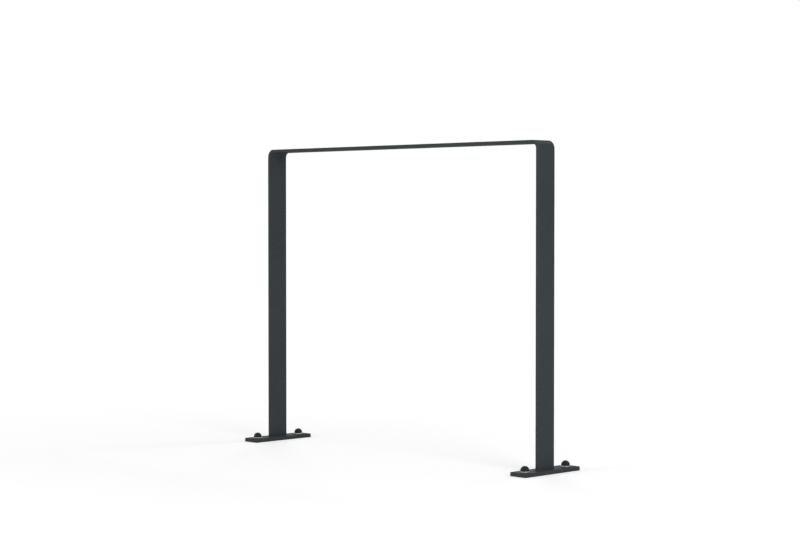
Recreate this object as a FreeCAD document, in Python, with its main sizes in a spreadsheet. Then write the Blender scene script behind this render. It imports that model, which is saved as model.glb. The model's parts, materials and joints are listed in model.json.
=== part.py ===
import FreeCAD, Part
import Sketcher
import math
import os

# Hoop bike rack: a flat steel bar bent into an upturned U, welded to two base plates
# that are held down by four wedge anchors with washers, nuts and dome caps.
# X runs along the hoop, Y across it, Z up. The origin is on the ground, midway between the legs.

doc = FreeCAD.newDocument("hoop_bike_rack")

# Driving sizes in millimetres, angles in degrees
SIZES = [
    ("hoop_length", "1000", "over the outer faces of the legs"),
    ("hoop_height", "810", "from the ground to the top of the rail"),
    ("hoop_shift", "2.5", "towards the front from the middle of the plates"),
    ("bar_width", "60", "flat bar, across the hoop"),
    ("bar_thickness", "8", "flat bar, in the plane of the hoop"),
    ("bar_edge_radius", "0.5", "rounding of the bar's long edges"),
    ("bend_radius", "12", "inside of the two bends"),
    ("plate_length", "200", "across the hoop"),
    ("plate_width", "50", "along the hoop"),
    ("plate_thickness", "10", "from the ground up"),
    ("plate_edge_radius", "0.5", "rounding of the upper and upright edges"),
    ("plate_hole_play", "1", "hole in the plate against the shank, over the diameter"),
    ("anchor_inset", "25", "from the end of a plate to its anchor"),
    ("weld_leg", "2", "along the plate and up the bar"),
    ("weld_lip", "0.3", "blunt edge where the weld meets plate and bar"),
    ("stud_diameter", "8", "plain shank, the same as the drilled hole"),
    ("stud_length", "75", "from end to end"),
    ("stud_stand_out", "2.5", "thread showing above the nut"),
    ("stud_end_chamfer", "0.8", "at both ends"),
    ("thread_undersize", "0.32", "thread crests against the shank, over the diameter"),
    ("thread_pitch", "1.25", "from crest to crest"),
    ("thread_angle", "60", "between the flanks"),
    ("thread_play", "0.05", "between the threads of stud and nut"),
    ("neck_depth", "1", "step from the shank in to the neck"),
    ("neck_length", "10", "where the clip sits"),
    ("cone_length", "8", "widens from the neck to the shank's diameter"),
    ("tip_length", "3", "below the cone"),
    ("clip_play", "0.05", "between the clip and the neck"),
    ("clip_wall", "0.9", "thickness of the clip's strip"),
    ("clip_end_gap", "0.3", "between the clip and the shoulder above it"),
    ("clip_skirt", "4", "how far the clip reaches down over the cone"),
    ("clip_split", "1.2", "width of the split along one side"),
    ("clip_slot_width", "0.8", "between two fingers"),
    ("clip_slot_height", "6", "up from the lower end"),
    ("clip_fingers", "3", "number of fingers that the slots make"),
    ("washer_diameter", "24", "large washer"),
    ("washer_play", "0.4", "bore against the shank, over the diameter"),
    ("washer_thickness", "2", "between plate and nut"),
    ("washer_edge_radius", "0.3", "rounding of the outer edges"),
    ("nut_across_flats", "13", "key width"),
    ("nut_height", "6.8", "between its end faces"),
    ("nut_face_inset", "0.7", "from a flat in to the round end face"),
    ("nut_chamfer_angle", "30", "of the corners"),
    ("nut_countersink", "0.6", "mouth of the bore against the shank, over the diameter"),
    ("cap_wall", "1.6", "thinnest wall, outside the recesses' upper edges"),
    ("cap_skirt", "2", "straight height below the half ball"),
    ("cap_edge_radius", "0.5", "rounding of the outer lower edge"),
    ("cap_grip_play", "0.05", "between the recess and each flat of the nut"),
    ("cap_well_play", "0.8", "round recess against the shank, over the diameter"),
    ("cap_head_room", "0.8", "above the nut and above the stud"),
    ("cut_overrun", "1", "how far cutting outlines pass the surface that they cut"),
]

sheet = doc.addObject("Spreadsheet::Sheet", "Sizes")
for row, (alias, value, note) in enumerate(SIZES, start=1):
    sheet.set(f"A{row}", alias)
    sheet.set(f"B{row}", value)
    sheet.setAlias(f"B{row}", alias)
    sheet.set(f"C{row}", note)
doc.recompute()

# Places and sizes that follow from the driving ones
LEG_OFFSET = "(Sizes.hoop_length - Sizes.bar_thickness) / 2"
ANCHOR_OFFSET = "(Sizes.plate_length / 2 - Sizes.anchor_inset)"
WASHER_TOP = "(Sizes.plate_thickness + Sizes.washer_thickness)"
STUD_RADIUS = "(Sizes.stud_diameter / 2)"
STUD_TOP = f"({WASHER_TOP} + Sizes.nut_height + Sizes.stud_stand_out)"
STUD_BOTTOM = f"({STUD_TOP} - Sizes.stud_length)"
TIP_TOP = f"({STUD_BOTTOM} + Sizes.tip_length)"
CONE_TOP = f"({TIP_TOP} + Sizes.cone_length)"
NECK_TOP = f"({CONE_TOP} + Sizes.neck_length)"
NECK_RADIUS = f"({STUD_RADIUS} - Sizes.neck_depth)"

# Metric thread profile: crests an eighth of the pitch wide, roots a quarter
THREAD_CREST = "(Sizes.thread_pitch / 8)"
THREAD_ROOT = "(Sizes.thread_pitch / 4)"
FLANK_SLOPE = "tan(Sizes.thread_angle / 2)"
FLANK_WIDTH = f"((Sizes.thread_pitch - {THREAD_CREST} - {THREAD_ROOT}) / 2)"
THREAD_DEPTH = f"({FLANK_WIDTH} / {FLANK_SLOPE})"
CREST_RADIUS = f"({STUD_RADIUS} - Sizes.thread_undersize / 2)"
ROOT_RADIUS = f"({CREST_RADIUS} - {THREAD_DEPTH})"
NUT_BORE = f"({ROOT_RADIUS} + Sizes.thread_play)"
NUT_ROOT = f"({CREST_RADIUS} + Sizes.thread_play)"

TOLERANCE = 1e-4

# How a sketch numbers the points of its lines and circles, and its own axes
START, END, CENTRE = range(1, 4)
X_AXIS, Y_AXIS = range(-1, -3, -1)
ORIGIN = (X_AXIS, START)


def number(expression):
    """Present value of an expression of the sheet's sizes."""
    return float(sheet.evalExpression(expression))


def bind(feature, **expressions):
    """Tie properties of a feature to expressions."""
    for name, expression in expressions.items():
        feature.setExpression(name, expression)


def add_body(label):
    body = doc.addObject("PartDesign::Body", label)
    body.Label = label
    return body


def place(body, x="0", y="0", z="0"):
    """Tie the place of a body's own origin to expressions."""
    for letter, expression in zip("xyz", (x, y, z)):
        body.setExpression(f"Placement.Base.{letter}", expression)


def origin_feature(body, role):
    return next(f for f in body.Origin.OriginFeatures if f.Role == role)


def add_sketch(body, name, role):
    """Sketch on one of the body's own origin planes."""
    sketch = body.newObject("Sketcher::SketchObject", f"{body.Name}_{name}")
    sketch.AttachmentSupport = (origin_feature(body, role), [""])
    sketch.MapMode = "FlatFace"
    return sketch


def hold(sketch, constraint, name, expression):
    """Add a measured constraint and tie it to an expression."""
    sketch.renameConstraint(sketch.addConstraint(constraint), name)
    sketch.setExpression(f"Constraints.{name}", expression)


def tie_point(sketch, item, point, x, y):
    """Hold a point of a line or circle at x, y, each an expression. A 0 puts it on the axis."""
    for kind, axis, text in (("DistanceX", Y_AXIS, x), ("DistanceY", X_AXIS, y)):
        if text == "0":
            sketch.addConstraint(Sketcher.Constraint("PointOnObject", item, point, axis))
        else:
            held = Sketcher.Constraint(kind, *ORIGIN, item, point, number(text))
            hold(sketch, held, f"{kind}_{item}", text)


def draw_outline(sketch, corners):
    """Closed outline of straight lines through corners, each a pair of expressions."""
    points = [FreeCAD.Vector(number(x), number(y), 0) for x, y in corners]
    first = sketch.GeometryCount
    for start, end in zip(points, points[1:] + points[:1]):
        sketch.addGeometry(Part.LineSegment(start, end))
    last = sketch.GeometryCount - 1
    for line in range(first, last + 1):
        following = first if line == last else line + 1
        sketch.addConstraint(Sketcher.Constraint("Coincident", line, END, following, START))
    for line, (x, y) in enumerate(corners, start=first):
        tie_point(sketch, line, START, x, y)


def draw_rectangle(sketch, width, height):
    """Rectangle centred on the sketch's origin."""
    right, top = f"({width}) / 2", f"({height}) / 2"
    left, low = f"-({width}) / 2", f"-({height}) / 2"
    draw_outline(sketch, [(right, top), (left, top), (left, low), (right, low)])


def draw_hexagon(sketch, across_flats):
    """Hexagon centred on the sketch's origin, with two flats square to its x axis."""
    flat = f"({across_flats}) / 2"
    corner = f"({across_flats}) / sqrt(3)"
    half = f"({corner}) / 2"
    draw_outline(sketch, [
        (flat, half), ("0", corner), (f"-{flat}", half),
        (f"-{flat}", f"-{half}"), ("0", f"-{corner}"), (flat, f"-{half}"),
    ])


def draw_circle(sketch, diameter, y="0"):
    """Circle with its centre on the sketch's y axis."""
    size = number(diameter)
    centre, normal = FreeCAD.Vector(0, number(y), 0), FreeCAD.Vector(0, 0, 1)
    circle = sketch.addGeometry(Part.Circle(centre, normal, size / 2))
    tie_point(sketch, circle, CENTRE, "0", y)
    hold(sketch, Sketcher.Constraint("Diameter", circle, size), f"diameter_{circle}", diameter)


def add_pad(body, sketch, length, side="One side"):
    pad = body.newObject("PartDesign::Pad", f"{sketch.Name}_pad")
    pad.Profile = sketch
    pad.SideType = side
    bind(pad, Length=length)
    doc.recompute()
    return pad


def check_cut(body, before):
    """A cut has to take something away, and leave something."""
    after = body.Shape.Volume
    if not 0 < after < before:
        raise RuntimeError(f"the last cut in {body.Label} took nothing away")


def add_pocket(body, sketch, length=None, side="One side", reverse=False):
    """Cut the sketch out of the body, by a length or right through."""
    before = body.Shape.Volume
    pocket = body.newObject("PartDesign::Pocket", f"{sketch.Name}_pocket")
    pocket.Profile = sketch
    pocket.SideType = side
    pocket.Reversed = reverse
    if length is None:
        pocket.Type = "ThroughAll"
    else:
        bind(pocket, Length=length)
    doc.recompute()
    check_cut(body, before)
    return pocket


def add_revolution(body, sketch):
    turned = body.newObject("PartDesign::Revolution", f"{sketch.Name}_turned")
    turned.Profile = sketch
    turned.ReferenceAxis = (sketch, ["V_Axis"])
    doc.recompute()
    return turned


def add_groove(body, sketch):
    before = body.Shape.Volume
    groove = body.newObject("PartDesign::Groove", f"{sketch.Name}_groove")
    groove.Profile = sketch
    groove.ReferenceAxis = (sketch, ["V_Axis"])
    doc.recompute()
    check_cut(body, before)
    return groove


def add_row(body, feature, sketch, spacing, count):
    """Repeat a feature upwards along the sketch's own upright axis."""
    row = body.newObject("PartDesign::LinearPattern", f"{feature.Name}_row")
    row.Originals = [feature]
    row.Direction = (sketch, ["V_Axis"])
    row.Mode = "Spacing"
    bind(row, Offset=spacing, Occurrences=count)
    body.Tip = row
    doc.recompute()
    return row


def edges_where(shape, wanted):
    """Names of the edges whose bounding box passes a test."""
    return [f"Edge{i}" for i, edge in enumerate(shape.Edges, start=1) if wanted(edge.BoundBox)]


def add_fillet(body, base, wanted, radius):
    fillet = body.newObject("PartDesign::Fillet", f"{base.Name}_fillet")
    fillet.Base = (base, edges_where(base.Shape, wanted))
    bind(fillet, Radius=radius)
    doc.recompute()
    return fillet


def add_chamfer(body, base, wanted, size):
    chamfer = body.newObject("PartDesign::Chamfer", f"{base.Name}_chamfer")
    chamfer.Base = (base, edges_where(base.Shape, wanted))
    bind(chamfer, Size=size)
    doc.recompute()
    return chamfer


def upright(box):
    return box.XLength < TOLERANCE and box.YLength < TOLERANCE


def level_at(box, height):
    return abs(box.ZMin - height) + box.ZLength < TOLERANCE


def add_hoop():
    """Bent flat bar. Its own origin is level with the feet of the legs."""
    body = add_body("hoop")
    half = "Sizes.hoop_length / 2"
    inner_half = f"({half} - Sizes.bar_thickness)"
    top = "(Sizes.hoop_height - Sizes.plate_thickness)"
    inner_top = f"({top} - Sizes.bar_thickness)"
    outline = add_sketch(body, "outline", "XZ_Plane")
    draw_outline(outline, [
        (f"-{half}", "0"), (f"-{half}", top), (half, top), (half, "0"),
        (inner_half, "0"), (inner_half, inner_top),
        (f"-{inner_half}", inner_top), (f"-{inner_half}", "0"),
    ])
    bar = add_pad(body, outline, "Sizes.bar_width", "Symmetric")

    def crosswise_at(height):
        return lambda box: box.XLength < TOLERANCE and level_at(box, number(height))

    outside = add_fillet(body, bar, crosswise_at(top), "Sizes.bend_radius + Sizes.bar_thickness")
    inside = add_fillet(body, outside, crosswise_at(inner_top), "Sizes.bend_radius")

    def long_edge(box):
        return box.YLength < TOLERANCE and box.ZMax > TOLERANCE

    add_fillet(body, inside, long_edge, "Sizes.bar_edge_radius")
    place(body, y="-Sizes.hoop_shift", z="Sizes.plate_thickness")
    return body


def add_base_plate(side, x):
    """Flat plate on the ground with a hole for each anchor."""
    body = add_body(f"base_plate_{side}")
    outline = add_sketch(body, "outline", "XY_Plane")
    draw_rectangle(outline, "Sizes.plate_width", "Sizes.plate_length")
    plate = add_pad(body, outline, "Sizes.plate_thickness")
    add_fillet(body, plate, lambda box: box.ZMax > TOLERANCE, "Sizes.plate_edge_radius")
    holes = add_sketch(body, "holes", "XY_Plane")
    for y in (f"-{ANCHOR_OFFSET}", ANCHOR_OFFSET):
        draw_circle(holes, "Sizes.stud_diameter + Sizes.plate_hole_play", y)
    add_pocket(body, holes, side="Symmetric")
    place(body, x=x)
    return body


def add_weld(side, x):
    """Fillet weld all round the foot of a leg."""
    body = add_body(f"weld_{side}")
    outline = add_sketch(body, "outline", "XY_Plane")
    draw_rectangle(
        outline, "Sizes.bar_thickness + 2 * Sizes.weld_leg", "Sizes.bar_width + 2 * Sizes.weld_leg",
    )
    ring = add_pad(body, outline, "Sizes.weld_leg")
    ring = add_fillet(body, ring, upright, "Sizes.bar_edge_radius + Sizes.weld_leg")
    foot = add_sketch(body, "foot", "XY_Plane")
    draw_rectangle(foot, "Sizes.bar_thickness", "Sizes.bar_width")
    ring = add_pocket(body, foot, side="Symmetric")
    reach = number("Sizes.bar_width / 2")

    def foot_corner(box):
        return upright(box) and abs(abs(box.YMin) - reach) < TOLERANCE

    ring = add_fillet(body, ring, foot_corner, "Sizes.bar_edge_radius")
    leg, half_bar = number("Sizes.weld_leg"), number("Sizes.bar_thickness / 2")

    def upper_outside(box):
        across = max(-box.XMin, box.XMax) > half_bar + TOLERANCE
        along = max(-box.YMin, box.YMax) > reach + TOLERANCE
        return level_at(box, leg) and (across or along)

    add_chamfer(body, ring, upper_outside, "Sizes.weld_leg - Sizes.weld_lip")
    place(body, x=x, y="-Sizes.hoop_shift", z="Sizes.plate_thickness")
    return body


def add_anchor_stud(spot, x, y):
    """Wedge anchor: thread, plain shank in the ground, neck, cone and tip.
    Each turn of the thread is a ring."""
    body = add_body(f"anchor_stud_{spot}")
    profile = add_sketch(body, "profile", "XZ_Plane")
    draw_outline(profile, [
        ("0", STUD_BOTTOM),
        (f"{STUD_RADIUS} - Sizes.stud_end_chamfer", STUD_BOTTOM),
        (STUD_RADIUS, f"{STUD_BOTTOM} + Sizes.stud_end_chamfer"),
        (STUD_RADIUS, TIP_TOP), (NECK_RADIUS, CONE_TOP),
        (NECK_RADIUS, NECK_TOP), (STUD_RADIUS, NECK_TOP),
        (STUD_RADIUS, "0"), (CREST_RADIUS, "0"),
        (CREST_RADIUS, f"{STUD_TOP} - Sizes.stud_end_chamfer"),
        (f"{CREST_RADIUS} - Sizes.stud_end_chamfer", STUD_TOP),
        ("0", STUD_TOP),
    ])
    add_revolution(body, profile)

    # The rings between two grooves lie in the nut's grooves, so they are counted from the nut
    rings_below = f"floor({WASHER_TOP} / Sizes.thread_pitch - 1 / 2)"
    lowest = f"({WASHER_TOP} - {rings_below} * Sizes.thread_pitch)"
    rings = f"floor(({STUD_TOP} - {lowest}) / Sizes.thread_pitch + 1 / 2)"
    mouth = f"(Sizes.thread_pitch - {THREAD_CREST}) / 2 + Sizes.cut_overrun * {FLANK_SLOPE}"
    outer = f"{CREST_RADIUS} + Sizes.cut_overrun"
    thread = add_sketch(body, "thread", "XZ_Plane")
    draw_outline(thread, [
        (ROOT_RADIUS, f"{lowest} + {THREAD_ROOT} / 2"),
        (ROOT_RADIUS, f"{lowest} - {THREAD_ROOT} / 2"),
        (outer, f"{lowest} - ({mouth})"),
        (outer, f"{lowest} + ({mouth})"),
    ])
    groove = add_groove(body, thread)
    add_row(body, groove, thread, "Sizes.thread_pitch", rings)
    place(body, x=x, y=y)
    return body


def add_expansion_clip(spot, x, y):
    """Split sleeve on the neck of the stud, spread at its lower end by the cone.
    Its own origin is at the top of the cone."""
    body = add_body(f"expansion_clip_{spot}")
    inner = f"({NECK_RADIUS} + Sizes.clip_play)"
    outer = f"({inner} + Sizes.clip_wall)"
    top = "(Sizes.neck_length - Sizes.clip_end_gap)"
    spread = "Sizes.clip_skirt * Sizes.neck_depth / Sizes.cone_length"
    profile = add_sketch(body, "profile", "XZ_Plane")
    draw_outline(profile, [
        (inner, top), (inner, "0"), (f"{inner} + {spread}", "-Sizes.clip_skirt"),
        (f"{outer} + {spread}", "-Sizes.clip_skirt"), (outer, "0"), (outer, top),
    ])
    add_revolution(body, profile)

    def draw_slot(sketch, width, low, high):
        left, right = f"-{width} / 2", f"{width} / 2"
        draw_outline(sketch, [(left, low), (right, low), (right, high), (left, high)])

    below = "-Sizes.clip_skirt - Sizes.cut_overrun"
    split = add_sketch(body, "split", "XZ_Plane")
    draw_slot(split, "Sizes.clip_split", below, f"{top} + Sizes.cut_overrun")
    add_pocket(body, split)
    slot = add_sketch(body, "slot", "XZ_Plane")
    draw_slot(slot, "Sizes.clip_slot_width", below, "Sizes.clip_slot_height - Sizes.clip_skirt")
    cut = add_pocket(body, slot, reverse=True)
    ring = body.newObject("PartDesign::PolarPattern", f"{body.Name}_slots")
    ring.Originals = [cut]
    ring.Axis = (slot, ["V_Axis"])
    bind(ring, Occurrences="Sizes.clip_fingers")
    body.Tip = ring
    place(body, x=x, y=y, z=CONE_TOP)
    return body


def add_washer(spot, x, y):
    """Large flat washer on the plate."""
    body = add_body(f"washer_{spot}")
    outline = add_sketch(body, "outline", "XY_Plane")
    draw_circle(outline, "Sizes.washer_diameter")
    disc = add_pad(body, outline, "Sizes.washer_thickness")
    add_fillet(body, disc, lambda box: box.ZLength < TOLERANCE, "Sizes.washer_edge_radius")
    bore = add_sketch(body, "bore", "XY_Plane")
    draw_circle(bore, "Sizes.stud_diameter + Sizes.washer_play")
    add_pocket(body, bore, side="Symmetric")
    place(body, x=x, y=y, z="Sizes.plate_thickness")
    return body


def add_hex_nut(spot, x, y):
    """Hexagon nut with chamfered corners, countersunk bore and a thread of rings."""
    body = add_body(f"hex_nut_{spot}")
    outline = add_sketch(body, "outline", "XY_Plane")
    draw_hexagon(outline, "Sizes.nut_across_flats")
    add_pad(body, outline, "Sizes.nut_height")
    bore = add_sketch(body, "bore", "XY_Plane")
    draw_circle(bore, f"2 * {NUT_BORE}")
    add_pocket(body, bore, side="Symmetric")

    face = "(Sizes.nut_across_flats / 2 - Sizes.nut_face_inset)"
    beyond = "(Sizes.nut_across_flats / sqrt(3) + Sizes.cut_overrun)"
    drop = f"({beyond} - {face}) * tan(Sizes.nut_chamfer_angle)"
    mouth = f"({STUD_RADIUS} + Sizes.nut_countersink / 2)"
    narrow = f"({NUT_BORE} - Sizes.cut_overrun)"
    sink = f"({mouth} - {narrow}) * {FLANK_SLOPE}"
    ends = add_sketch(body, "ends", "XZ_Plane")
    draw_outline(ends, [(face, "0"), (beyond, drop), (beyond, "0")])
    draw_outline(ends, [(mouth, "0"), (narrow, "0"), (narrow, sink)])
    upper = "Sizes.nut_height"
    draw_outline(ends, [(face, upper), (beyond, upper), (beyond, f"{upper} - {drop}")])
    draw_outline(ends, [(mouth, upper), (narrow, f"{upper} - {sink}"), (narrow, upper)])
    add_groove(body, ends)

    middle = "Sizes.thread_pitch / 2"
    opening = f"(Sizes.thread_pitch - {THREAD_ROOT}) / 2 + Sizes.cut_overrun * {FLANK_SLOPE}"
    thread = add_sketch(body, "thread", "XZ_Plane")
    draw_outline(thread, [
        (NUT_ROOT, f"{middle} - {THREAD_CREST} / 2"),
        (NUT_ROOT, f"{middle} + {THREAD_CREST} / 2"),
        (narrow, f"{middle} + {opening}"),
        (narrow, f"{middle} - ({opening})"),
    ])
    groove = add_groove(body, thread)
    turns = "floor(Sizes.nut_height / Sizes.thread_pitch) + 1"
    add_row(body, groove, thread, "Sizes.thread_pitch", turns)
    place(body, x=x, y=y, z=WASHER_TOP)
    return body


def draw_half_ball(sketch, radius, skirt):
    """Half section of a half ball on a straight skirt, round the sketch's upright axis."""
    r, low = number(radius), number(skirt)
    middle, rim = FreeCAD.Vector(0, 0, 0), FreeCAD.Vector(r, 0, 0)
    shoulder, crown = FreeCAD.Vector(r, low, 0), FreeCAD.Vector(0, low + r, 0)
    ball = Part.Circle(FreeCAD.Vector(0, low, 0), FreeCAD.Vector(0, 0, 1), r)
    base = sketch.addGeometry(Part.LineSegment(middle, rim))
    side = sketch.addGeometry(Part.LineSegment(rim, shoulder))
    dome = sketch.addGeometry(Part.ArcOfCircle(ball, 0, math.pi / 2))
    axis = sketch.addGeometry(Part.LineSegment(crown, middle))
    for constraint in (
        Sketcher.Constraint("Coincident", base, START, *ORIGIN),
        Sketcher.Constraint("Horizontal", base),
        Sketcher.Constraint("Coincident", base, END, side, START),
        Sketcher.Constraint("Vertical", side),
        Sketcher.Constraint("Tangent", side, END, dome, START),
        Sketcher.Constraint("PointOnObject", dome, CENTRE, Y_AXIS),
        Sketcher.Constraint("Coincident", dome, END, axis, START),
        Sketcher.Constraint("Vertical", axis),
        Sketcher.Constraint("Coincident", axis, END, base, START),
    ):
        sketch.addConstraint(constraint)
    hold(sketch, Sketcher.Constraint("Radius", dome, r), "ball", radius)
    hold(sketch, Sketcher.Constraint("DistanceY", side, START, side, END, low), "skirt", skirt)


def add_dome_cap(spot, x, y):
    """Half ball on a short skirt, with a hexagon recess that grips the nut
    and a round one above it for the end of the stud."""
    body = add_body(f"dome_cap_{spot}")
    flats = "(Sizes.nut_across_flats + 2 * Sizes.cap_grip_play)"
    grip_depth = "(Sizes.nut_height + Sizes.cap_head_room)"
    well = "(Sizes.stud_diameter + Sizes.cap_well_play)"
    well_depth = f"({grip_depth} + Sizes.stud_stand_out)"

    def from_centre(radius, height):
        return f"sqrt(({radius}) ^ 2 + ({height} - Sizes.cap_skirt) ^ 2)"

    grip_corner = from_centre(f"{flats} / sqrt(3)", grip_depth)
    well_corner = from_centre(f"{well} / 2", well_depth)
    profile = add_sketch(body, "profile", "XZ_Plane")
    ball = f"max({grip_corner}; {well_corner}) + Sizes.cap_wall"
    draw_half_ball(profile, ball, "Sizes.cap_skirt")
    solid = add_revolution(body, profile)
    add_fillet(body, solid, lambda box: box.ZMax < TOLERANCE, "Sizes.cap_edge_radius")
    recess = add_sketch(body, "grip", "XY_Plane")
    draw_hexagon(recess, flats)
    add_pocket(body, recess, grip_depth, reverse=True)
    recess = add_sketch(body, "well", "XY_Plane")
    draw_circle(recess, well)
    add_pocket(body, recess, well_depth, reverse=True)
    place(body, x=x, y=y, z=WASHER_TOP)
    return body


sub_parts = [add_hoop()]
for side, x in (("left", f"-{LEG_OFFSET}"), ("right", LEG_OFFSET)):
    sub_parts += [add_base_plate(side, x), add_weld(side, x)]
    for end, y in (("front", f"-{ANCHOR_OFFSET}"), ("rear", ANCHOR_OFFSET)):
        spot = f"{side}_{end}"
        sub_parts += [
            add_anchor_stud(spot, x, y),
            add_expansion_clip(spot, x, y),
            add_washer(spot, x, y),
            add_hex_nut(spot, x, y),
            add_dome_cap(spot, x, y),
        ]
doc.recompute()

failed = [o.Label for o in doc.Objects if {"Invalid", "Error"} & set(o.State)]
for body in sub_parts:
    shape = body.Shape
    if shape.isNull() or not shape.isValid() or len(shape.Solids) != 1:
        failed.append(body.Label)
if failed:
    raise RuntimeError(f"these failed: {failed}")

os.makedirs("parts", exist_ok=True)
for body in sub_parts:
    body.Shape.exportStep(f"parts/{body.Label}.step")
    box = body.Shape.optimalBoundingBox(False)
    print(f"{body.Label}: {body.Shape.Volume:.1f} mm3, z {box.ZMin:.2f} to {box.ZMax:.2f}")
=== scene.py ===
import json
import math

import bpy
import numpy as np
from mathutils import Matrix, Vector


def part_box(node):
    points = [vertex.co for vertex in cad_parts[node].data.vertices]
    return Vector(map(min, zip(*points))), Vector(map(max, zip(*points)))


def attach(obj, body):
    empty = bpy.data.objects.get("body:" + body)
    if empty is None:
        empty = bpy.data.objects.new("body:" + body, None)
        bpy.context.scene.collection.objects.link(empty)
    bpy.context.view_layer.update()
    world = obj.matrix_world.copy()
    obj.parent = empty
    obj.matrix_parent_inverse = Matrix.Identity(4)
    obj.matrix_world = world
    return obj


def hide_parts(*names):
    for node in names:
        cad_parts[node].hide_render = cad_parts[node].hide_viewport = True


# Hoop bike rack: a powder-coated flat bar bent into an upturned U, welded to two base plates
# that are held down by anchors under black dome caps. Metres, X along the hoop, Z up.

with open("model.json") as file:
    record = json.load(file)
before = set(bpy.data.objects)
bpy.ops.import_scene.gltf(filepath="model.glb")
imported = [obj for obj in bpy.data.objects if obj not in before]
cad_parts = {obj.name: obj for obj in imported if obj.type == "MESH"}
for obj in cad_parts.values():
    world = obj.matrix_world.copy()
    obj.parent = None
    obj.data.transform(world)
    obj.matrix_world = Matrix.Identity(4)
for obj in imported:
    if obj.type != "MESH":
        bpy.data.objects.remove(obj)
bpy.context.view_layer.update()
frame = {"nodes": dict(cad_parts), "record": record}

MM = 0.001
SIDES = ("left", "right")
SPOTS = [f"{side}_{end}" for side in SIDES for end in ("front", "rear")]

# Bent bar
BAR_THICKNESS = 8.0 * MM
BAR_EDGE = 0.5 * MM
BAR_FACE_STEPS = 24
BAR_SIDE_STEPS = 5
BAR_EDGE_STEPS = 6
BEND_INSIDE = 12.0 * MM
BEND_STEPS = 28
BEND_SWELL = 0.45 * MM
BEND_REACH = 16.0 * MM
MILL_WAVE = 0.04 * MM
MILL_WAVELENGTH = 170.0 * MM
STATION_GAP = 5.0 * MM

# Weld beads. A wander is a share of the bead's leg, a number of waves and a phase.
WELD_BULGE = 0.28
WELD_WANDERS = ((0.05, 3, 0.0), (0.04, 7, 1.0))
RIPPLE_PITCH = 1.9 * MM
RIPPLE_DEPTH = 0.34 * MM
RIPPLE_BOW = 0.4
RIPPLE_ROUNDNESS = 0.7
BEAD_END_STEPS = 24
BEAD_SIDE_STEPS = 232
BEAD_CORNER_STEPS = 24
BEAD_SECTION_POINTS = 14

# Dome caps. The seam's points lie out from the skirt and below the dome by multiples of CAP_SEAM.
# The recess comes to the hexagon's form, and goes back to round, by the shares of HEXAGON_STEPS.
CAP_SKIRT = 2.0 * MM
CAP_EDGE = 0.5 * MM
CAP_SEAM = 0.06 * MM
SEAM_OUT = (1.0, 1.0, 0.0)
SEAM_DOWN = (1.0, 2.0, 4.0)
HEXAGON_STEPS = (0.3, 0.7, 1.0)
GATE_RADIUS = 1.1 * MM
GATE_DEPTH = 0.15 * MM
RECESS_FLAT = 6.55 * MM
RECESS_DEPTH = 7.6 * MM
WELL_RADIUS = 4.4 * MM
WELL_DEPTH = 10.1 * MM
CAP_COLUMNS = 96
DOME_STEPS = 40
CAP_EDGE_STEPS = 6
RECESS_WALL_STEPS = 4
WELL_STEPS = 3

# Powder coat. A pattern's scale is in waves per metre. It goes from low to high while its
# noise goes from one cut to the other. A shade is a factor on the colour.
COAT_COLOUR = (0.042, 0.049, 0.0525, 1.0)
COAT_CLOUDS = {"scale": 7.0, "detail": 3.0}
COAT_CLOUD_SHADES = (0.93, 1.07)
COAT_PIGMENT = {"scale": 1300.0, "high": 0.30, "cut": (0.35, 0.75), "roughness": 0.6}
COAT_PIGMENT_SHADE = 1.5
COAT_SCUFFS = {"scale": 70.0, "high": 0.35, "cut": (0.60, 0.75), "detail": 7.0, "roughness": 0.65}
COAT_SCUFF_SHADE = 1.6
# Paler coat on the edges: partly a thinner coat, partly a painted edge highlight
COAT_EDGE_WEAR_AND_HIGHLIGHT = {"scale": 60.0, "low": 0.15, "high": 0.60, "detail": 4.0}
COAT_EDGE_WEAR_AND_HIGHLIGHT_SHADE = 2.0
COAT_EDGES = {"radius": 0.9 * MM, "cosines": (0.90, 0.995), "samples": 8}
COAT_ROUGHNESS = {"scale": 22.0, "low": 0.54, "high": 0.66, "detail": 3.0}
COAT_SHEEN = 0.09
COAT_SHEEN_ROUGHNESS = 0.28
COAT_PEEL = {"scale": 330.0, "detail": 1.0}
COAT_PEEL_DEPTH = 0.08 * MM
COAT_STRUCTURE = {"scale": 1050.0, "roughness": 0.55}
COAT_STRUCTURE_DEPTH = 0.20 * MM

# Zinc plating
ZINC_COLOUR = (0.60, 0.61, 0.63, 1.0)
ZINC_MOTTLE = {"scale": 260.0, "detail": 4.0}
ZINC_MOTTLE_SHADES = (0.85, 1.1)
ZINC_ROUGHNESS = {"scale": 420.0, "low": 0.30, "high": 0.48, "detail": 3.0}
ZINC_SCRATCHES = {"scale": 6000.0}
ZINC_SCRATCH_STRETCH = (1.0, 0.08, 1.0)
ZINC_SCRATCH_DEPTH = 0.004 * MM

# Moulded plastic
PLASTIC_COLOUR = (0.010, 0.010, 0.011, 1.0)
PLASTIC_SCUFFS = {"scale": 380.0, "cut": (0.56, 0.80), "detail": 5.0, "roughness": 0.6}
PLASTIC_SCUFF_SHADE = 2.0
PLASTIC_ROUGHNESS = {"scale": 500.0, "low": 0.42, "high": 0.52, "detail": 3.0}
PLASTIC_SPECULAR = 0.15
PLASTIC_GRAIN = {"scale": 3500.0}
PLASTIC_GRAIN_DEPTH = 0.003 * MM

# Camera, solved from the photograph's edges and corners
CAMERA_PLACE = (3.5368, -3.4865, 0.6251)
CAMERA_TURN = 45.481
CAMERA_DIP = 1.512
SENSOR_WIDTH = 36.0
LENS = 85.550

# Light, and how white the floor and the background are
WHITE = (1.0, 1.0, 1.0, 1.0)
AMBIENT = 0.35
FLOOR_COLOUR = (0.90, 0.90, 0.90, 1.0)
FLOOR_LIFT = 0.32
FLOOR_SIZE = 40.0
FADE_START = 0.6
FADE_END = 1.7

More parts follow.
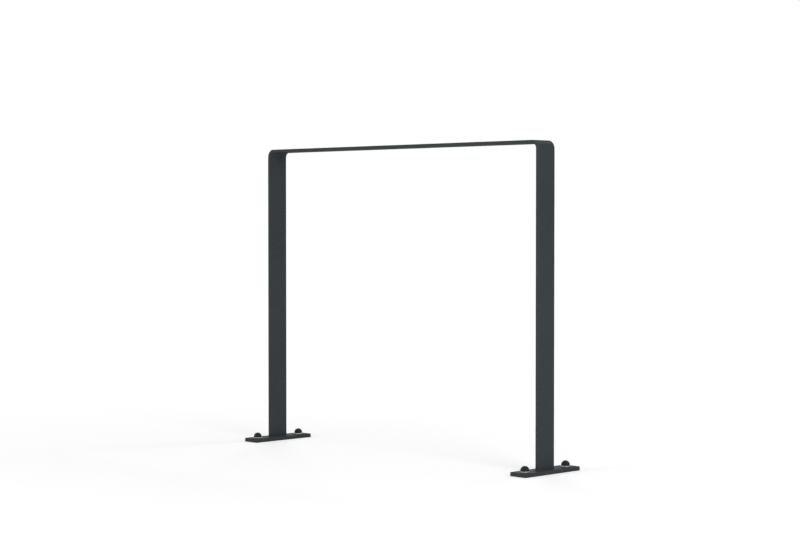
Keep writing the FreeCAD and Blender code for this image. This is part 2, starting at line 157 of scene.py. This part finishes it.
# Each lamp's name, place, target, width and power
LAMPS = [
    ("light_right", (4.0, -1.2, 1.3), (0.4, 0.0, 0.3), 1.8, 67.0),
    ("light_front", (-0.6, -4.5, 1.3), (0.0, 0.0, 0.2), 2.2, 76.0),
    ("light_back", (-3.5, 3.2, 2.2), (0.0, 0.0, 0.4), 2.2, 66.0),
    ("light_high", (0.5, 3.0, 3.8), (0.0, 0.0, 0.3), 1.1, 36.0),
]


def mesh_object(name, points, faces):
    """Object at the origin with a smooth mesh made from an array of points and a list of faces."""
    mesh = bpy.data.meshes.new(name)
    mesh.from_pydata(points.reshape(-1, 3).tolist(), [], faces)
    mesh.polygons.foreach_set("use_smooth", np.ones(len(mesh.polygons), dtype=bool))
    mesh.update()
    item = bpy.data.objects.new(name, mesh)
    bpy.context.scene.collection.objects.link(item)
    return item


def add_piece(name, points, faces, material, node):
    """Piece that stands for one node of the frame and rides on the only body."""
    piece = mesh_object(name, points, faces)
    piece.data.materials.append(material)
    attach(piece, "root")
    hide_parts(node)
    return piece


def grid_faces(rows, columns, closed_rows=False):
    """Four-sided faces of a grid of points whose columns, and rows if asked, close on themselves."""
    index = np.arange(rows * columns).reshape(rows, columns)
    index = np.hstack([index, index[:, :1]])
    if closed_rows:
        index = np.vstack([index, index[:1]])
    corners = index[:-1, :-1], index[:-1, 1:], index[1:, 1:], index[1:, :-1]
    return np.stack(corners, axis=-1).reshape(-1, 4).tolist()


def fan_faces(ring, pole):
    """Triangles from the points of a closed ring to one pole."""
    ring = np.asarray(ring)
    return np.stack([ring, np.roll(ring, -1), np.full(len(ring), pole)], axis=-1).tolist()


def rounded_rectangle(width, height, radius, width_steps, height_steps, corner_steps):
    """Outline round the origin, anticlockwise: at each corner a quarter arc, whose points are
    the arc's centre plus the radius times (cos, sin) of the angle, then a straight side.
    Gives the points and the directions in which they face."""
    centres = np.array([(1, 1), (-1, 1), (-1, -1), (1, -1)]) * (width / 2 - radius, height / 2 - radius)
    points, facing = [], []
    for number, (centre, following) in enumerate(zip(centres, np.roll(centres, -1, axis=0))):
        angle = (number + np.linspace(0, 1, corner_steps + 1)) * math.pi / 2
        arc = np.column_stack([np.cos(angle), np.sin(angle)])
        steps = height_steps if number % 2 else width_steps
        share = np.linspace(0, 1, steps + 1)[1:-1, None]
        side = centre * (1 - share) + following * share
        points += [centre + radius * arc, side + radius * arc[-1]]
        facing += [arc, np.repeat(arc[-1:], steps - 1, axis=0)]
    return np.vstack(points), np.vstack(facing)


def hoop_path(half, low, high, radius):
    """Middle line of the bar in the XZ plane: up a leg, a quarter arc, the rail, a quarter arc,
    down the other leg. Gives the places, the directions that face out of the hoop, the
    distance travelled to each place, and the distance to the middle of the first bend."""
    straight = round((high - radius - low) / STATION_GAP)
    along = round(2 * (half - radius) / STATION_GAP)
    turn = np.linspace(math.pi, math.pi / 2, BEND_STEPS + 1)
    quarter = np.column_stack([np.cos(turn), np.sin(turn)])
    leg = np.column_stack([np.full(straight, -half), np.linspace(low, high - radius, straight + 1)[:-1]])
    places = np.vstack([leg, (radius - half, high - radius) + radius * quarter])
    facing = np.vstack([np.tile((-1.0, 0.0), (straight, 1)), quarter])
    rail = np.linspace(radius - half, half - radius, along + 1)[1:-1]
    rail = np.column_stack([rail, np.full(along - 1, high)])
    mirror = np.array([-1.0, 1.0])
    places = np.vstack([places, rail, places[::-1] * mirror])
    facing = np.vstack([facing, np.tile((0.0, 1.0), (along - 1, 1)), facing[::-1] * mirror])
    travelled = np.append(0, np.cumsum(np.linalg.norm(np.diff(places, axis=0), axis=1)))
    return places, facing, travelled, travelled[straight + BEND_STEPS // 2]


def add_hoop(material):
    """The bar's section carried along the hoop's path: the place plus the section's height times
    the outward direction, and the section's width along Y. In a bend the edges swell by
    BEND_SWELL on the inside and draw in as much on the outside, by the sixth power of the
    share of the half width, and this fades with the fourth power of the distance from the
    bend's middle. The whole bar waves by MILL_WAVE, a sine of the distance travelled. Its two
    ends are flat."""
    low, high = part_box("hoop")
    width = high.y - low.y
    middle = (low.y + high.y) / 2
    places, facing, travelled, bend = hoop_path(
        high.x - BAR_THICKNESS / 2, low.z, high.z - BAR_THICKNESS / 2, BEND_INSIDE + BAR_THICKNESS / 2,
    )
    section, _ = rounded_rectangle(
        width, BAR_THICKNESS, BAR_EDGE, BAR_FACE_STEPS, BAR_SIDE_STEPS, BAR_EDGE_STEPS,
    )
    across, outward = section[None, :, 0], section[None, :, 1]
    from_bend = np.minimum(abs(travelled - bend), abs(travelled[-1] - bend - travelled))[:, None]
    strength = np.exp(-((from_bend / BEND_REACH) ** 4))
    rim = np.sign(across) * abs(2 * across / width) ** 6
    swell = -rim * strength * BEND_SWELL * 2 * outward / BAR_THICKNESS
    wave = MILL_WAVE * np.sin(2 * math.pi * travelled[:, None] / MILL_WAVELENGTH)
    outward = outward + wave
    points = np.stack([
        places[:, :1] + outward * facing[:, :1],
        middle + across + swell,
        places[:, 1:] + outward * facing[:, 1:],
    ], axis=-1)
    rows, columns = points.shape[:2]
    faces = grid_faces(rows, columns)
    faces.append(list(range(columns))[::-1])
    faces.append(list(range((rows - 1) * columns, rows * columns)))
    hoop = add_piece("hoop_bar", points, faces, material, "hoop")
    for end in hoop.data.polygons[-2:]:
        end.use_smooth = False


def add_weld_bead(side, material):
    """Ring of bead round the foot of a leg. The section runs from the leg down to the plate and
    back to the root. At an angle up from the plate, its distance from the root is
    leg / (cos + sin) of the angle, times 1 + WELD_BULGE * sin of twice the angle. Ripples,
    the absolute sine of the travelled distance, bow back in the middle of the bead, and slow
    waves, sines of the share of the way round, make its width wander."""
    low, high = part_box(f"weld_{side}")
    leg = high.z - low.z
    centre = (low + high) / 2
    root, facing = rounded_rectangle(
        high.x - low.x - 2 * leg, high.y - low.y - 2 * leg, BAR_EDGE,
        BEAD_END_STEPS, BEAD_SIDE_STEPS, BEAD_CORNER_STEPS,
    )
    middle = root + facing * leg / 2
    step = np.linalg.norm(middle - np.roll(middle, 1, axis=0), axis=1)
    travelled = (np.cumsum(step) / step.sum())[:, None]
    ripples = round(step.sum() / RIPPLE_PITCH)
    share = np.linspace(1, 0, BEAD_SECTION_POINTS)[None, :]
    angle = share * math.pi / 2
    bow = RIPPLE_BOW * (2 * share - 1) ** 2
    ripple = abs(np.sin(math.pi * (ripples * travelled + bow))) ** RIPPLE_ROUNDNESS - 0.5
    wander = 1 + sum(
        size * np.sin(2 * math.pi * waves * travelled + phase) for size, waves, phase in WELD_WANDERS
    )
    reach = leg * wander * (1 + WELD_BULGE * np.sin(2 * angle)) / (np.cos(angle) + np.sin(angle))
    reach = reach + RIPPLE_DEPTH * ripple * np.sin(math.pi * share)
    reach = np.hstack([reach, np.zeros_like(travelled)])
    angle = np.hstack([angle, np.zeros((1, 1))])
    out, up = reach * np.cos(angle), reach * np.sin(angle)
    points = np.stack([
        centre.x + root[:, :1] + facing[:, :1] * out,
        centre.y + root[:, 1:] + facing[:, 1:] * out,
        low.z + up,
    ], axis=-1)
    faces = grid_faces(*points.shape[:2], closed_rows=True)
    add_piece(f"weld_bead_{side}", points, faces, material, f"weld_{side}")


def cap_profile(radius):
    """Half section of a cap from the crown outside, round the lower edge, to the top of the
    recess inside, as distances from the axis, heights and shares of the hexagon's form. The
    dome is a quarter circle over a skirt, and a fine seam stands out between the two."""
    ball = np.linspace(math.pi / 2, 0, DOME_STEPS + 1)[1:]
    out = radius * np.cos(ball)
    height = CAP_SKIRT + radius * np.sin(ball) - GATE_DEPTH * np.exp(-((out / GATE_RADIUS) ** 6))
    seam = CAP_SKIRT - CAP_SEAM * np.array(SEAM_DOWN)
    edge = np.linspace(0, math.pi / 2, CAP_EDGE_STEPS + 1)
    hexagon = np.array(HEXAGON_STEPS)
    to_recess = np.linspace(radius - CAP_EDGE, RECESS_FLAT, len(hexagon) + 1)[1:]
    wall = np.linspace(0, RECESS_DEPTH, RECESS_WALL_STEPS + 1)[1:]
    ceiling = np.linspace(RECESS_FLAT, WELL_RADIUS, len(hexagon) + 1)[1:]
    well = np.linspace(RECESS_DEPTH, WELL_DEPTH, WELL_STEPS + 1)[1:]
    parts = [
        (out, height, 0 * out),
        (radius + CAP_SEAM * np.array(SEAM_OUT), seam, 0 * seam),
        (radius - CAP_EDGE * (1 - np.cos(edge)), CAP_EDGE * (1 - np.sin(edge)), 0 * edge),
        (to_recess, 0 * to_recess, hexagon),
        (RECESS_FLAT + 0 * wall, wall, 1 + 0 * wall),
        (ceiling, RECESS_DEPTH + 0 * ceiling, 1 - hexagon),
        (WELL_RADIUS + 0 * well, well, 0 * well),
    ]
    return [np.concatenate(column) for column in zip(*parts)]


def add_dome_cap(spot, material):
    """Cap turned round its axis: (distance * cos, distance * sin, height) of the angle round it,
    clockwise, so that the faces point outwards. In the recess the distance is divided by the
    cosine of the angle to the nearest flat, which makes it a hexagon. The crown has the
    shallow mark of a moulding gate."""
    low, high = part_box(f"dome_cap_{spot}")
    centre = (low + high) / 2
    out, height, hexagon = (column[:, None] for column in cap_profile((high.x - low.x) / 2))
    angle = np.linspace(2 * math.pi, 0, CAP_COLUMNS, endpoint=False)[None, :]
    to_flat = (angle + math.pi / 6) % (math.pi / 3) - math.pi / 6
    distance = out * (1 + hexagon * (1 / np.cos(to_flat) - 1))
    points = np.stack([
        centre.x + distance * np.cos(angle),
        centre.y + distance * np.sin(angle),
        low.z + np.broadcast_to(height, distance.shape),
    ], axis=-1)
    rows, columns = points.shape[:2]
    crown = (centre.x, centre.y, high.z - GATE_DEPTH)
    well_top = (centre.x, centre.y, low.z + WELL_DEPTH)
    points = np.vstack([points.reshape(-1, 3), crown, well_top])
    pole = rows * columns
    faces = grid_faces(rows, columns)
    faces += fan_faces(range(columns)[::-1], pole)
    faces += fan_faces(range(pole - columns, pole), pole + 1)
    add_piece(f"cap_{spot}", points, faces, material, f"dome_cap_{spot}")


def node_adder(tree):
    """Function that adds a node to the tree. Its inputs are numbers, colours or the sockets that
    feed them, by the input's name or number, and its settings are the node's own."""
    def add(kind, inputs=(), **settings):
        node = tree.nodes.new(f"ShaderNode{kind}")
        for name, value in settings.items():
            setattr(node, name, value)
        for name, value in dict(inputs).items():
            if isinstance(value, bpy.types.NodeSocket):
                tree.links.new(value, node.inputs[name])
            else:
                node.inputs[name].default_value = value
        return node
    return add


def new_material(name):
    """Material with an empty node tree, the function that adds its nodes, and the place on the
    surface in Object coordinates."""
    material = bpy.data.materials.new(name)
    material.use_nodes = True
    material.node_tree.nodes.clear()
    add = node_adder(material.node_tree)
    return material, add, add("TexCoord").outputs["Object"]


def noise(add, place, scale, detail=2.0, roughness=0.5):
    """Noise from 0 to 1, most of it from 0.3 to 0.7."""
    inputs = {"Vector": place, "Scale": scale, "Detail": detail, "Roughness": roughness}
    return add("TexNoise", inputs).outputs["Fac"]


def spread(add, value, low, high, cut):
    """From low to high while the value goes from one cut to the other, and held past them."""
    inputs = {"Value": value, "From Min": cut[0], "From Max": cut[1], "To Min": low, "To Max": high}
    return add("MapRange", inputs).outputs["Result"]


def pattern(add, place, scale, low=0.0, high=1.0, cut=(0.3, 0.7), **form):
    """Noise of a scale and form, spread from low to high between its cuts."""
    return spread(add, noise(add, place, scale, **form), low, high, cut)


def calculate(add, operation, first, second):
    """Sum, product or the like of two numbers."""
    return add("Math", {0: first, 1: second}, operation=operation).outputs[0]


def mix_colours(add, share, first, second):
    """Colour between two, by a share. Sockets 6, 7 and 2 of a Mix node are its colours."""
    return add("Mix", {0: share, 6: first, 7: second}, data_type="RGBA").outputs[2]


def shade(colour, factor):
    """The colour made paler or darker."""
    return tuple(factor * channel for channel in colour[:3]) + (1.0,)


def bump(add, height, depth, **below):
    """Normal of a surface raised by the height, over the bump below it if there is one."""
    return add("Bump", {"Height": height, "Strength": 1.0, "Distance": depth, **below}).outputs["Normal"]


def edge_mask(add, radius, cosines, samples):
    """1 where the surface turns sharply within the radius, 0 on the flat: the cosine between
    the surface's normal and the normal rounded over the radius, spread between two cosines."""
    rounded = add("Bevel", {"Radius": radius}, samples=samples).outputs["Normal"]
    flat = add("NewGeometry").outputs["Normal"]
    cosine = add("VectorMath", {0: rounded, 1: flat}, operation="DOT_PRODUCT").outputs["Value"]
    return spread(add, cosine, 1.0, 0.0, cut=cosines)


def powder_coat():
    """Satin anthracite powder coat: a fine structure over a soft orange peel, faint clouds and
    pigment grain, dull rubbed scuffs, and paler edges, partly a thinner coat and partly a painted edge
    highlight."""
    material, add, place = new_material("powder_coat")
    darker, paler = (shade(COAT_COLOUR, factor) for factor in COAT_CLOUD_SHADES)
    colour = mix_colours(add, pattern(add, place, **COAT_CLOUDS), darker, paler)
    pigment = pattern(add, place, **COAT_PIGMENT)
    colour = mix_colours(add, pigment, colour, shade(COAT_COLOUR, COAT_PIGMENT_SHADE))
    scuffs = pattern(add, place, **COAT_SCUFFS)
    colour = mix_colours(add, scuffs, colour, shade(COAT_COLOUR, COAT_SCUFF_SHADE))
    # Paler edges: partly a thinner coat, partly a painted edge highlight
    wear_and_highlight = calculate(add, "MULTIPLY", edge_mask(add, **COAT_EDGES), pattern(add, place, **COAT_EDGE_WEAR_AND_HIGHLIGHT))
    colour = mix_colours(add, wear_and_highlight, colour, shade(COAT_COLOUR, COAT_EDGE_WEAR_AND_HIGHLIGHT_SHADE))
    structure = bump(add, noise(add, place, **COAT_STRUCTURE), COAT_STRUCTURE_DEPTH)
    relief = bump(add, noise(add, place, **COAT_PEEL), COAT_PEEL_DEPTH, Normal=structure)
    surface = add("BsdfPrincipled", {
        "Base Color": colour,
        "Roughness": pattern(add, place, **COAT_ROUGHNESS),
        "Normal": relief,
        "Specular IOR Level": 0.0,
        "Coat Weight": COAT_SHEEN,
        "Coat Roughness": COAT_SHEEN_ROUGHNESS,
        "Coat Normal": relief,
    })
    add("OutputMaterial", {"Surface": surface.outputs[0]})
    return material


def zinc_plate():
    """Bright zinc plating on pressed steel: a mottled colour, patchy gloss and fine scratches."""
    material, add, place = new_material("zinc_plate")
    darker, paler = (shade(ZINC_COLOUR, factor) for factor in ZINC_MOTTLE_SHADES)
    stretched = add("Mapping", {"Vector": place, "Scale": ZINC_SCRATCH_STRETCH}).outputs[0]
    surface = add("BsdfPrincipled", {
        "Base Color": mix_colours(add, pattern(add, place, **ZINC_MOTTLE), darker, paler),
        "Metallic": 1.0,
        "Roughness": pattern(add, place, **ZINC_ROUGHNESS),
        "Normal": bump(add, noise(add, stretched, **ZINC_SCRATCHES), ZINC_SCRATCH_DEPTH),
    })
    add("OutputMaterial", {"Surface": surface.outputs[0]})
    return material


def black_plastic():
    """Smooth moulded black plastic with a fine spark-eroded grain and a few paler scuffs."""
    material, add, place = new_material("black_plastic")
    paler = shade(PLASTIC_COLOUR, PLASTIC_SCUFF_SHADE)
    surface = add("BsdfPrincipled", {
        "Base Color": mix_colours(add, pattern(add, place, **PLASTIC_SCUFFS), PLASTIC_COLOUR, paler),
        "Roughness": pattern(add, place, **PLASTIC_ROUGHNESS),
        "Normal": bump(add, noise(add, place, **PLASTIC_GRAIN), PLASTIC_GRAIN_DEPTH),
        "Specular IOR Level": PLASTIC_SPECULAR,
    })
    add("OutputMaterial", {"Surface": surface.outputs[0]})
    return material


def seen_rays(add):
    """1 for rays from the camera and for mirrored and transmitted ones, 0 for the rest."""
    path = add("LightPath").outputs
    first = calculate(add, "MAXIMUM", path["Is Camera Ray"], path["Is Glossy Ray"])
    return calculate(add, "MAXIMUM", first, path["Is Transmission Ray"])


def floor_material():
    """White floor that keeps the shadows near the rack and goes over into the white background."""
    material, add, place = new_material("floor_white")
    level = add("VectorMath", {0: place, 1: (1.0, 1.0, 0.0)}, operation="MULTIPLY").outputs[0]
    distance = add("VectorMath", {0: level}, operation="LENGTH").outputs["Value"]
    far = add("MapRange", {
        "Value": distance, "From Min": FADE_START, "From Max": FADE_END, "To Min": 0.0, "To Max": 1.0,
    }, interpolation_type="SMOOTHSTEP").outputs["Result"]
    seen = seen_rays(add)
    matt = add("BsdfDiffuse", {"Color": FLOOR_COLOUR}).outputs[0]
    glow = add("Emission", {"Strength": calculate(add, "MULTIPLY", seen, FLOOR_LIFT)}).outputs[0]
    near = add("AddShader", {0: matt, 1: glow}).outputs[0]
    white = add("Emission", {"Strength": 1.0}).outputs[0]
    fade = calculate(add, "MULTIPLY", far, seen)
    add("OutputMaterial", {"Surface": add("MixShader", {0: fade, 1: near, 2: white}).outputs[0]})
    return material


def add_floor():
    """Level square of floor round the origin."""
    corners = np.array([(-1, -1, 0), (1, -1, 0), (1, 1, 0), (-1, 1, 0)]) * FLOOR_SIZE / 2
    floor = mesh_object("floor", corners, [[0, 1, 2, 3]])
    floor.data.materials.append(floor_material())


def add_world():
    """Even ambient light, and white for what the camera, gloss and glass see."""
    world = bpy.data.worlds.new("studio")
    world.use_nodes = True
    world.node_tree.nodes.clear()
    add = node_adder(world.node_tree)
    ambient = add("Background", {"Color": WHITE, "Strength": AMBIENT}).outputs[0]
    white = add("Background", {"Color": WHITE, "Strength": 1.0}).outputs[0]
    mixed = add("MixShader", {0: seen_rays(add), 1: ambient, 2: white}).outputs[0]
    add("OutputWorld", {"Surface": mixed})
    bpy.context.scene.world = world


def add_lamp(name, place, target, width, power):
    """Square area lamp that faces the target."""
    light = bpy.data.lights.new(name, "AREA")
    light.shape = "SQUARE"
    light.size = width
    light.energy = power
    lamp = bpy.data.objects.new(name, light)
    lamp.location = place
    lamp.rotation_euler = (Vector(target) - Vector(place)).to_track_quat("-Z", "Y").to_euler()
    bpy.context.scene.collection.objects.link(lamp)


def add_camera():
    """Camera at its solved place, turned to the left from looking along +Y, and dipped."""
    lens = bpy.data.cameras.new("camera")
    lens.sensor_fit = "HORIZONTAL"
    lens.sensor_width = SENSOR_WIDTH
    lens.lens = LENS
    camera = bpy.data.objects.new("camera", lens)
    camera.location = CAMERA_PLACE
    camera.rotation_euler = (math.radians(90 - CAMERA_DIP), 0, math.radians(CAMERA_TURN))
    bpy.context.scene.collection.objects.link(camera)
    bpy.context.scene.camera = camera


finishes = {"powder_coat": powder_coat(), "zinc_steel": zinc_plate(), "black_plastic": black_plastic()}

add_hoop(finishes["powder_coat"])
for side in SIDES:
    add_weld_bead(side, finishes["powder_coat"])
for spot in SPOTS:
    add_dome_cap(spot, finishes["black_plastic"])

# Each node of the frame takes the finish of its material slot
for part in frame["record"]["subparts"]:
    materials = frame["nodes"][part["node"]].data.materials
    materials.clear()
    materials.append(finishes[part["material_slot"]])

add_camera()
add_floor()
add_world()
for lamp in LAMPS:
    add_lamp(*lamp)

bpy.context.scene.view_settings.view_transform = "Standard"
